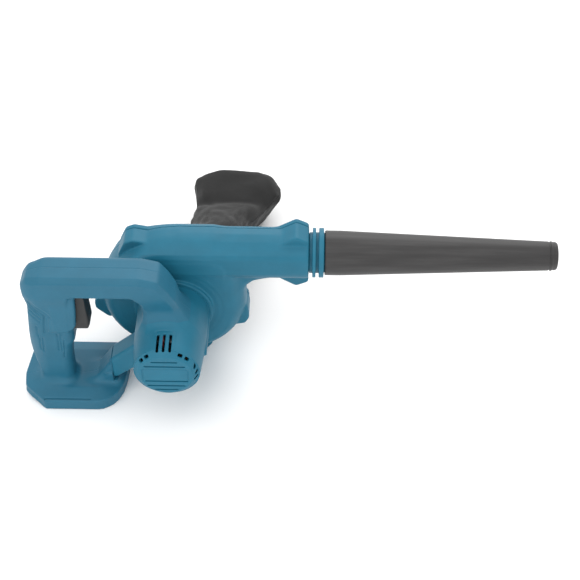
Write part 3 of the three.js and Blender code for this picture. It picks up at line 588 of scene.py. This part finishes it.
def grip_side(s, half):
    """Distance to the sides of the grip, which close in an ellipse at the back, longer at the top."""
    nose = 18 + 12 * ramp(s.z, 62, 86)
    behind = np.minimum(s.x + 142 - nose, 0) / nose
    return (np.sqrt(behind ** 2 + ((s.y - GRIP_Y) / half) ** 2) - 1) * half


def grip_field(s):
    """Grip and top bar: one outline with chamfered edges, softer towards the foot of the grip."""
    profile = s.blur(outline(s.x, s.z, HANDLE), 1.6)
    panel = outline(s.x, s.z, PANEL)
    half = GRIP_HALF - PANEL_RISE * ramp(panel, -0.5, 0.6) - PANEL_GROOVE * bell(panel, 0.75)
    nearest_line = np.minimum.reduce([gap_to_lines(s.x, s.z, line) for line in GRIP_LINES])
    half = half - LINE_DEPTH * bell(nearest_line, LINE_WIDTH)
    half = half + BAR_EXTRA * ramp(s.z, 44, 64) - foot_narrowing(s)
    side = grip_side(s, half)
    forward = ramp(s.x, -141, -125)
    near = chamfered(profile, side, 0.4 + 3.9 * forward)
    crisp = np.where(s.y > GRIP_Y, rounded(profile, side, 1 + 7 * forward), near)
    softer = rounded(profile, side, 1 + 8 * forward)
    grip = crisp + (softer - crisp) * ramp(s.z, 15, 8)
    cheek = chamfered(s.blur(outline(s.x, s.z, CHEEK), 0.8), grip_side(s, GRIP_HALF + 0.3), 1.4)
    return soft_min(grip, cheek, 1.2)


def base_field(s):
    """Battery base: upright rim, a sloped border and a flat deck."""
    inward = -s.blur(outline(s.x, s.y, BASE), 1.6)
    deck = s.blur(RIM_TOP + DECK_RISE * np.clip((inward - 0.8) / DECK_BORDER, 0, 1), 0.6)
    body = soft_max(soft_max(s.z - deck, -inward, 1.2), FLOOR - s.z, 0.8)
    crease = np.maximum(band(s.y, -87.6, -86), band(s.x, -131, -84))
    return carve(body, np.maximum(crease, deck - 1.6 - s.z), 0.3)


def mound_field(s):
    """The flare where the grip stands on the base, narrowing upwards."""
    up = s.z + 64
    lean, true_scale = 0.9, 0.74  # the scale turns a level gap into one square to the leaning side
    along = (np.abs(s.x + 120.5) - (20 - lean * up)) * true_scale
    across = (np.abs(s.y - GRIP_Y) - (17.5 - lean * up)) * true_scale
    return soft_max(rounded(along, across, 12), band(s.z, -75, -52), 3)


def barrel_radius(y):
    """The barrel narrows towards its cap."""
    return BARREL - BARREL_NARROWING * np.clip((BARREL_TAPER - y) / 44, 0, 2) ** 1.3


def housing_field(s):
    """Outside of handle, base, arm and barrel together, so that their pieces share one surface."""
    body = soft_min(base_field(s), mound_field(s), 5)
    riser = rounded(s.blur(outline(s.x, s.z, RISER), 1.6), band(s.y, -65, -39), 4)
    foot = rounded(s.blur(outline(s.x, s.z, FOOT), 0.8), band(s.y, -66.5, -46), 2)
    body = soft_min(soft_min(body, riser, 8), foot, 2)
    body = soft_max(body, np.minimum(s.x - ARM_SEAM, s.z + 61), 0.3)
    arm = rounded(s.blur(outline(s.x, s.z, ARM), 1.4), band(s.y, -65, -43), 3.5)
    body = soft_min(body, arm, 0.5)
    tube = soft_max(from_axis(s) - barrel_radius(s.y), band(s.y, CAP_SEAM - 1.5, -22.3), 0.4)
    grip = grip_field(s)
    body = soft_min(soft_min(body, grip, 6), tube, 5)
    body = np.minimum(body, soft_min(grip, tube, 16))
    seam = np.maximum(band(s.x, ARM_SEAM - 0.3, ARM_SEAM + 0.3), -0.7 - body)
    seam = np.maximum(seam, band(s.z, -61, -20))
    return carve(body, seam, 0.3)


def motor_zone(s):
    """Negative in the part of the housing that belongs to the motor barrel and its arm."""
    arm = np.maximum(np.maximum(ARM_SEAM - s.x, s.x + 20), band(s.z, -61.5, 3))
    return np.minimum(from_axis(s) - 37.5, arm)


def build_handle():
    s = Space((-158, -93, -83), (20, -5, 89), 0.65)
    body = housing_field(s)
    overlap, set_in = 0.6, 0.05
    outer = np.maximum(body + set_in, -overlap - motor_zone(s))
    half = GRIP_HALF - SIDE_WALL - foot_narrowing(s)
    hollow = soft_max(outline(s.x, s.z, HANDLE) + HANDLE_WALL, grip_side(s, half), 4)
    tray = soft_max(outline(s.x, s.y, BASE) + BASE_WALL, s.z - TRAY_CEILING, 1.5)
    tray = soft_max(tray, -100 - s.z, 1)
    window = box(s, (-110, -80), (GRIP_Y - 10.6, GRIP_Y + 10.6), (12.6, 58.4))
    shell = carve(carve(carve(outer, hollow), tray), window)
    for y in ((-88, -78), (-20, -10)):
        shell = soft_min(shell, box(s, (-128, -72), y, (FLOOR + 0.2, FLOOR + 2.8)), 0.5)
    for x, z in HANDLE_SCREWS:
        post = soft_max(rod(s.x, s.z, x, z, 4), band(s.y, -66, -40.5), 0.5)
        head = soft_max(rod(s.x, s.z, x, z, HEAD_HOLE), band(s.y, -43.8, -30), 0.3)
        shank = soft_max(rod(s.x, s.z, x, z, SHANK_HOLE), band(s.y, -64, -30), 0.3)
        shell = carve(carve(soft_min(shell, post, 0.6), head, 0.4), shank, 0.3)
    near = soft_max(shell, s.y - (GRIP_Y + overlap), 0.2)
    far = soft_max(shell + set_in, GRIP_Y - s.y, 0.2)
    skin("handle_near_half", s, near, "blower_body", GRIP_TEAL, ["handle_shell_near"])
    skin("handle_far_half", s, far, "blower_body", GRIP_TEAL, ["handle_shell_far"])


SLOT_MIDDLES, SLOT_HALF = (-9.9, -4.0, 2.0), 1.25


def top_slots(s):
    """Three cooling slots that run over the rim."""
    slots = None
    for x in SLOT_MIDDLES:
        slot = box(s, (x - SLOT_HALF, x + SLOT_HALF), (-106.2, -87.4), (12, 40), 0.8)
        slots = slot if slots is None else np.minimum(slots, slot)
    return slots


def slot_frame(s, body):
    """A thin groove round the slots."""
    middle_x, reach_x, start, end = -3.4, 9.6, -83.5, -107
    around = np.abs(soft_max(np.abs(s.x - middle_x) - reach_x, band(s.y, end, start), 2))
    return body + 0.4 * bell(around, 0.6) * (s.z > 20)


def build_barrel():
    s = Space((-66, -107, -62), (38, -20, 48), 0.6)
    radius = from_axis(s)
    body = np.maximum(housing_field(s), motor_zone(s))
    strip = rounded(rounded(band(s.z, -7.5, -1), band(s.y, -79, -25), 2.5), band(s.x, 28, 33.3), 1.2)
    body = soft_min(body, strip, 1.2)
    body = slot_frame(s, body)
    body = soft_max(body, -66 - s.x, 0.3)
    bore = barrel_radius(s.y) - BARREL_WALL
    body = carve(body, soft_max(radius - bore, band(s.y, -120, -25), 0.5))
    body = soft_min(body, soft_max(band(radius, 9.8, 12.4), band(s.y, -32, -23), 0.4), 0.6)
    body = carve(body, top_slots(s), 0.4)
    body = carve(body, soft_max(radius - SHAFT_HOLE, band(s.y, -40, -10), 0.3), 0.4)
    body = carve(body, box(s, (-9, 3), (-66, -47), (25, 35.5)))
    skin("barrel_shell", s, body, "blower_body", TEAL, ["motor_barrel"])


CAP_LINES = [(12.5, 18.2), (19.4, 12.0), (18.2, -15.3), (11.4, -20.9)]  # half length and height of each
CAP_GROOVE_HALF = 0.75
CAP_HOLES = (45, 60, 128, 143)  # round the cap, in degrees
CAP_SLOTS = [(24.6, 10.5, 1.4), (26.2, 3.2, 1.1), (25.2, -4.5, 0.9)]  # x, z and lean in radians


def build_cap():
    s = Space((-38, -112, -36), (33, -97, 36), 0.42)
    radius = from_axis(s)
    dome = soft_max(radius - barrel_radius(s.y) - 0.06, band(s.y, CAP_FACE, CAP_SEAM), 0.3)
    slope = (radius - CAP_FACE_RADIUS) * 0.72 - (s.y - CAP_FACE) * 0.69
    body = soft_max(dome, slope, 1.6)
    body = body + 0.3 * bell(radius - CAP_FACE_RADIUS - 0.6, 0.5) * (s.y < CAP_FACE + 3)
    lip = soft_max(radius - 29.5, band(s.y, CAP_SEAM - 1, CAP_SEAM + 5), 0.5)
    body = soft_min(body, lip, 0.3)
    hollow = soft_max(radius - CAP_BORE, band(s.y, CAP_FACE + 3.4, -90), 1.0)
    body = carve(body, hollow)
    body = soft_min(body, soft_max(band(radius, 7.9, 10.4), band(s.y, CAP_FACE + 3, -98.2), 0.3), 0.4)
    middle = AXIS_X - 1
    for reach, z in CAP_LINES:
        wide, high = (middle - reach, middle + reach), (z - CAP_GROOVE_HALF, z + CAP_GROOVE_HALF)
        groove = box(s, wide, (CAP_FACE - 2, CAP_FACE + 1.7), high, 0.3)
        body = carve(body, groove, 0.3)
    badge = soft_max(band(s.x, middle - 21.5, middle + 21.5), band(s.z, -9.2, 8.4), 2)
    body = carve(body, soft_max(badge, s.y - CAP_FACE - 0.35, 0.3), 0.3)
    body = body + 0.5 * bell(badge, 0.6) * (s.y < CAP_FACE + 3)
    line = box(s, (middle - 19.5, middle + 21), (CAP_FACE - 2, CAP_FACE + 1.9), (-9.7, -8.4), 0.3)
    body = carve(body, line, 0.3)
    through = band(s.y, -112, -97)
    for angle in CAP_HOLES:
        c, w = polar(1, angle)
        out = (s.x - AXIS_X) * c + s.z * w
        along = s.z * c - (s.x - AXIS_X) * w
        hole = soft_max(band(out, 27.2, 29.9), band(along, -2.5, 2.5), 1.2)
        body = carve(body, soft_max(hole, through, 0.3), 0.4)
    for x, z, lean in CAP_SLOTS:
        across = (s.x - x) * math.sin(lean) - (s.z - z) * math.cos(lean)
        along = (s.x - x) * math.cos(lean) + (s.z - z) * math.sin(lean)
        slot = soft_max(np.abs(across) - 0.9, np.abs(along) - 3.4, 0.8)
        body = carve(body, soft_max(slot, through, 0.3), 0.4)
    body = carve(body, top_slots(s), 0.4)
    skin("cap_shell", s, body, "blower_body", TEAL, ["motor_end_cap"])


# ---------------------------------------------------------------- trigger
TRIGGER = [
    (-103, 57.5), (-83, 57.5), (-80.8, 54), (-80.4, 40), (-79.4, 26), (-79, 18), (-81, 13.6), (-103, 13.3),
]


def build_trigger():
    s = Space((-118, -66, 11), (-75, -43, 60), 0.45)
    profile = s.blur(outline(s.x, s.z, TRIGGER), 0.8)
    off_middle = np.abs(s.y - GRIP_Y)
    body = soft_max(profile, off_middle - 10, 0.8)
    body = soft_max(body, (s.x + 80) * 0.72 + off_middle * 0.69 - 6.2, 0.6)
    plunger = soft_max(rod(s.y, s.z, GRIP_Y, 22, 2.4), band(s.x, -116, -100), 0.4)
    skin("trigger_blade", s, soft_min(body, plunger, 0.4), "trigger_lever", TRIGGER_PLASTIC,
         ["trigger"])


# ---------------------------------------------------------------- turned pieces
def turned(name, rows, centre, axis, body, material, replaced, sides=128):
    """A turned piece from a closed profile of (radius, station), about an x or y line through centre."""
    count = len(rows)
    points, faces = [], []
    for k in range(sides):
        c, w = polar(1, 360 * k / sides)
        for radius, station in rows:
            if axis == "x":
                points.append((station, centre[1] + radius * c, centre[2] + radius * w))
            else:
                points.append((centre[0] + radius * w, station, centre[2] + radius * c))
    for k in range(sides):
        here, after = k * count, (k + 1) % sides * count
        for j in range(count):
            nxt = (j + 1) % count
            faces.append((here + j, here + nxt, after + nxt, after + j))
    mesh = bpy.data.meshes.new(name)
    mesh.from_pydata(place(points).tolist(), [], faces)
    tidy = bmesh.new()
    tidy.from_mesh(mesh)
    bmesh.ops.recalc_face_normals(tidy, faces=tidy.faces)
    tidy.to_mesh(mesh)
    tidy.free()
    piece(name, mesh, body, material, replaced)
    mesh.shade_smooth()
    mesh.set_sharp_from_angle(angle=math.radians(40))


def rounded_rows(rows, radius, steps=3):
    """Rounds each corner of a closed profile."""
    result = []
    for k, corner in enumerate(rows):
        here = np.array(corner, float)
        before, after = np.array(rows[k - 1], float), np.array(rows[(k + 1) % len(rows)], float)
        reach = min(radius, 0.45 * np.linalg.norm(before - here), 0.45 * np.linalg.norm(after - here))
        a = here + (before - here) / np.linalg.norm(before - here) * reach
        b = here + (after - here) / np.linalg.norm(after - here) * reach
        for i in range(steps + 1):
            t = i / steps
            result.append(tuple((1 - t) ** 2 * a + 2 * t * (1 - t) * here + t * t * b))
    return result


def build_nozzle():
    """Tapered tube with a socket at its wide end and a beaded rim at its tip."""
    start, socket_end, end = 145.8, 160.6, 370.3
    lip = end - 8
    base, tip = 21.8, 14.2
    slope = (tip - base) / (lip - socket_end)
    rows = [(19.6, start), (21.3, start), (base, start + 0.8), (base, socket_end)]
    rows += [(base + slope * (x - socket_end), x) for x in np.linspace(socket_end + 9, lip - 0.3, 22)]
    rim = [
        (13.6, 0.3), (13.6, 1.2), (14.4, 1.6), (14.4, 3), (13.8, 3.4), (13.8, 6.4), (13.3, 7.4), (12.9, 8),
        (11.7, 8),
    ]
    rows += [(radius, lip + offset) for radius, offset in rim]
    rows += [(11.5, lip), (18.3, socket_end + 8), (18.3, socket_end), (19.6, socket_end)]
    turned("nozzle_tube", rounded_rows(rows, 0.3, 2), (0, DUCT_Y, DUCT_Z), "x", "nozzle_tube",
           NOZZLE_PLASTIC, ["nozzle"], 160)


def build_spigot():
    rows = [
        (16.6, 123.2), (20.9, 123.2), (20.9, 126.2), (18.7, 126.2), (18.7, 130.8), (19.85, 130.8),
        (19.85, 133.9), (24.2, 133.9), (24.2, 137), (19.85, 137), (19.85, 140.1), (24.2, 140.1),
        (24.2, 144.7), (19.3, 145), (19.3, 159.4), (18.7, 160), (16.6, 160),
    ]
    turned("ribbed_spigot", rounded_rows(rows, 0.5), (0, DUCT_Y, DUCT_Z), "x", "blower_body", TEAL,
           ["outlet_spigot"])


def build_collar_and_band():
    rows = [(41.8, 28), (45.3, 28), (45.3, 45), (36, 45), (36, 42.3), (41.8, 42.3)]
    turned("collar_ring", rounded_rows(rows, 0.6), (AXIS_X, 0, 0), "y", "bag_assembly", BLACK_PLASTIC,
           ["bag_collar"])
    rows = [(45.6, 34), (47.2, 34.4), (47.4, 37), (47.2, 39.6), (45.6, 40)]
    turned("bag_band_ring", rounded_rows(rows, 0.5), (AXIS_X, 0, 0), "y", "bag_assembly", RUBBER,
           ["bag_band"])


# ---------------------------------------------------------------- dust bag
BAG_RINGS, BAG_SIDES = 54, 84
BAG_STATIONS = [
    # part way, y, left, right, right at the floor, top, bottom, squareness
    (0.00, 45.4, -47.8, 42.6, 42.6, 45.2, -45.2, 2.0),
    (0.08, 58.0, -40.0, 46.0, 46.0, 37.0, -49.0, 2.0),
    (0.20, 80.0, -20.0, 58.0, 56.0, 17.0, -58.0, 2.1),
    (0.34, 106.0, -3.0, 69.0, 61.0, 3.0, -68.0, 2.3),
    (0.46, 131.0, -1.8, 71.5, 61.0, -8.0, -76.0, 2.6),
    (0.55, 150.0, -1.8, 79.0, 61.0, -17.0, -79.0, 3.2),
    (0.64, 166.0, 0.0, 90.0, 63.0, -25.0, -79.4, 4.0),
    (0.75, 185.0, 0.6, 101.0, 69.0, -24.0, -79.4, 4.6),
    (0.84, 200.0, -0.4, 100.5, 73.0, -24.5, -79.4, 5.0),
    (0.92, 213.0, -1.2, 95.5, 77.0, -24.5, -79.4, 5.0),
    (0.97, 221.0, -1.2, 91.0, 77.0, -25.5, -78.5, 5.0),
    (1.00, 223.5, 3.0, 86.0, 75.0, -28.0, -75.0, 4.6),
]
BAG_TABLE = np.array(BAG_STATIONS)


def bag_section(t):
    """The measures of BAG_STATIONS after the first, part way along the bag."""
    return [float(np.interp(t, BAG_TABLE[:, 0], column)) for column in BAG_TABLE.T[1:]]


def bag_point(t, angle):
    """A point of the lofted bag.

    The side panels lean in below the top seams, and the far corners are drawn back.
    """
    y, left, right, foot, top, bottom, square = bag_section(t)
    c, w = polar(1, angle)
    u = math.copysign(abs(c) ** (2 / square), c)
    v = math.copysign(abs(w) ** (2 / square), w)
    lean = (right - foot) * (1 - v) / 2
    if u < 0:
        lean = lean * 0.3
    x = (left + right) / 2 + ((right - left) / 2 - lean) * u
    z = (top + bottom) / 2 + (top - bottom) / 2 * v
    y -= ramp(t, 0.7, 1) * (11 * max(-u, 0) ** 3 + 6 * max(u, 0) ** 3)
    x -= 2 * ramp(t, 0.86, 0.97) * max(-u, 0) ** 8
    x += 4.5 * bell(t - 0.79, 0.1) * max(u, 0) ** 8
    on_top = math.sqrt(max(w, 0))
    fold = -1.2 * math.exp(-((y - 168 + 0.12 * x) / 9) ** 2)
    deep = 0.3 + 1.4 * ramp(x, 35, 62)
    pleats = deep * math.sin(0.8 * x - 0.1 * y) * ramp(y, 152, 132) * ramp(y, 60, 100)
    return x, y, z + on_top * (fold + pleats)


def bag_shell():
    """The lofted bag, open at its mouth and closed at its far end."""
    points = [
        bag_point(i / BAG_RINGS, 360 * k / BAG_SIDES)
        for i in range(BAG_RINGS + 1)
        for k in range(BAG_SIDES)
    ]
    faces = []
    for i in range(BAG_RINGS):
        for k in range(BAG_SIDES):
            a, b = i * BAG_SIDES + k, i * BAG_SIDES + (k + 1) % BAG_SIDES
            faces.append((a, b, b + BAG_SIDES, a + BAG_SIDES))
    faces.append(tuple(range(BAG_RINGS * BAG_SIDES, (BAG_RINGS + 1) * BAG_SIDES)))
    mesh = bpy.data.meshes.new("dust_bag_cloth")
    mesh.from_pydata(place(points).tolist(), [], faces)
    return mesh


SETTLE_FRAMES = 20


def settle(made, furthest):
    """Lets the cloth crumple and sag a little from its lofted shape, never further than furthest."""
    start = np.array([v.co[:] for v in made.data.vertices])
    held = made.vertex_groups.new(name="held")
    held.add(list(range(2 * BAG_SIDES)), 1.0, "REPLACE")
    cloth = made.modifiers.new("settle", "CLOTH")
    settings = cloth.settings
    settings.vertex_group_mass = "held"
    settings.quality = 6
    settings.mass = 0.15
    settings.tension_stiffness = settings.compression_stiffness = 12
    settings.shear_stiffness = 4
    settings.bending_stiffness = 0.1
    settings.use_pressure = True
    settings.uniform_pressure_force = 0.5
    settings.shrink_min = -0.08
    settings.effector_weights.gravity = 0.05
    cloth.point_cache.frame_start, cloth.point_cache.frame_end = 1, SETTLE_FRAMES
    scene = bpy.context.scene
    for number in range(1, SETTLE_FRAMES + 1):
        scene.frame_set(number)
    settled = made.evaluated_get(bpy.context.evaluated_depsgraph_get()).to_mesh()
    moved = np.array([v.co[:] for v in settled.vertices]) - start
    made.to_mesh_clear()
    made.modifiers.remove(cloth)
    scene.frame_set(1)
    size = np.linalg.norm(moved, axis=1, keepdims=True)
    moved *= np.tanh(size / furthest) * furthest / np.maximum(size, 1e-9)
    ground = MIDDLE.z + (FLOOR + CLOTH_GAP) * MM
    after = start + moved
    after[:, 2] = np.maximum(after[:, 2], ground)
    for vertex, point in zip(made.data.vertices, after):
        vertex.co = point


def crumple(made):
    """Broad rumples and finer creases that run down the bag, fading out at its mouth."""
    for vertex in made.data.vertices:
        x, y, z = (Vector(vertex.co) - MIDDLE) / MM
        broad = noise.noise((x / 24, y / 30, z / 24))
        fine = noise.noise((x / 7 + y / 40, y / 26, z / 8))
        height = (2.2 * broad + 1.7 * fine) * ramp(y, 55, 85)
        moved = Vector(vertex.co) + Vector(vertex.normal) * float(height) * MM
        moved.z = max(moved.z, MIDDLE.z + (FLOOR + CLOTH_GAP) * MM)
        vertex.co = moved


def seam_tube(name, cloth, column, first, last, radius):
    """A sewn, corded edge along one lengthwise row of the bag."""
    row = [cloth.data.vertices[i * BAG_SIDES + column] for i in range(first, last)]
    path = [np.array(v.co) + np.array(v.normal) * radius * 0.3 for v in row]
    sides = 8
    points, faces = [], []
    for i, here in enumerate(path):
        along = Vector(path[min(i + 1, len(path) - 1)] - path[max(i - 1, 0)]).normalized()
        out = Vector(row[i].normal)
        across = along.cross(out).normalized()
        for k in range(sides):
            c, w = polar(radius, 360 * k / sides)
            points.append(Vector(here) + out * c + across * w)
    for i in range(len(path) - 1):
        for k in range(sides):
            a, b = i * sides + k, i * sides + (k + 1) % sides
            faces.append((a, b, b + sides, a + sides))
    faces.append(tuple(range(sides))[::-1])
    faces.append(tuple(range((len(path) - 1) * sides, len(path) * sides)))
    mesh = bpy.data.meshes.new(name)
    mesh.from_pydata(points, [], faces)
    piece(name, mesh, "bag_assembly", FABRIC)
    mesh.shade_smooth()


SEAM_COLUMNS = (("right", 6), ("left", 36))  # lengthwise rows of the bag that carry a corded seam


def build_bag():
    made = piece("dust_bag_cloth", bag_shell(), "bag_assembly", FABRIC, ["dust_bag"])
    settle(made, 3.5 * MM)
    crumple(made)
    for side, column in SEAM_COLUMNS:
        seam_tube(f"bag_seam_{side}", made, column, 8, BAG_RINGS - 3, 0.9 * MM)
    finer = made.modifiers.new("finer", "SUBSURF")
    finer.levels = finer.render_levels = 1
    made.data.shade_smooth()


# ---------------------------------------------------------------- stage, light, camera
def look(where, target):
    """The turn that points a lamp at its target."""
    return (Vector(target) - Vector(where)).to_track_quat("-Z", "Y")


def stage():
    """A pale paper floor in an evenly lit room."""
    floor = bpy.data.meshes.new("floor")
    size = 6.0
    corners = [(-size, -size, 0), (size, -size, 0), (size, size, 0), (-size, size, 0)]
    floor.from_pydata(corners, [], [(0, 1, 2, 3)])
    ground = bpy.data.objects.new("floor", floor)
    bpy.context.scene.collection.objects.link(ground)
    n = Nodes("floor_paper")
    paper = n.noise(3, 3)
    tone = n.ramp(paper, [(0.3, (0.9, 0.9, 0.9)), (0.7, (0.93, 0.93, 0.93))])
    floor.materials.append(n.finish(tone, n.span(paper, 0.7, 0.8)))

    world = bpy.data.worlds.new("soft_room")
    bpy.context.scene.world = world
    world.use_nodes = True
    background = world.node_tree.nodes["Background"]
    background.inputs["Color"].default_value = (1, 1, 1, 1)
    background.inputs["Strength"].default_value = 1.15


def lamp(name, where, target, size, power):
    light = bpy.data.lights.new(name, "AREA")
    light.shape = "RECTANGLE"
    light.size, light.size_y, light.energy = size[0], size[1], power
    holder = bpy.data.objects.new(name, light)
    bpy.context.scene.collection.objects.link(holder)
    holder.location = where
    holder.rotation_mode = "QUATERNION"
    holder.rotation_quaternion = look(where, target)


def lights():
    middle = (0, 0, 0.08)
    lamp("key", (-0.5, -0.7, 1.5), middle, (1.4, 1.4), 8.5)
    lamp("front", (-0.16, -0.46, 0.07), (-0.16, -0.14, 0.0), (0.34, 0.1), 0.14)
    lamp("back", (0.2, 1.4, 1.3), middle, (1.6, 0.8), 13)


def camera():
    target = MIDDLE + Vector((112, 0, 4.7)) * MM
    azimuth, elevation, distance, width = math.radians(1.2), math.radians(46.0), 1.3, 0.58
    back = Vector((
        math.sin(azimuth) * math.cos(elevation),
        -math.cos(azimuth) * math.cos(elevation),
        math.sin(elevation),
    ))
    data = bpy.data.cameras.new("view")
    data.sensor_width = 36
    data.lens = data.sensor_width * distance / width
    data.clip_start, data.clip_end = 0.01, 50
    eye = bpy.data.objects.new("view", data)
    bpy.context.scene.collection.objects.link(eye)
    eye.location = target + back * distance
    eye.rotation_mode = "QUATERNION"
    eye.rotation_quaternion = (-back).to_track_quat("-Z", "Y")
    bpy.context.scene.camera = eye


camera()
stage()
lights()
bpy.context.scene.view_settings.view_transform = "Standard"
dress_cad_nodes()
build_scroll()
build_barrel()
build_cap()
build_handle()
build_trigger()
build_nozzle()
build_spigot()
build_collar_and_band()
build_bag()
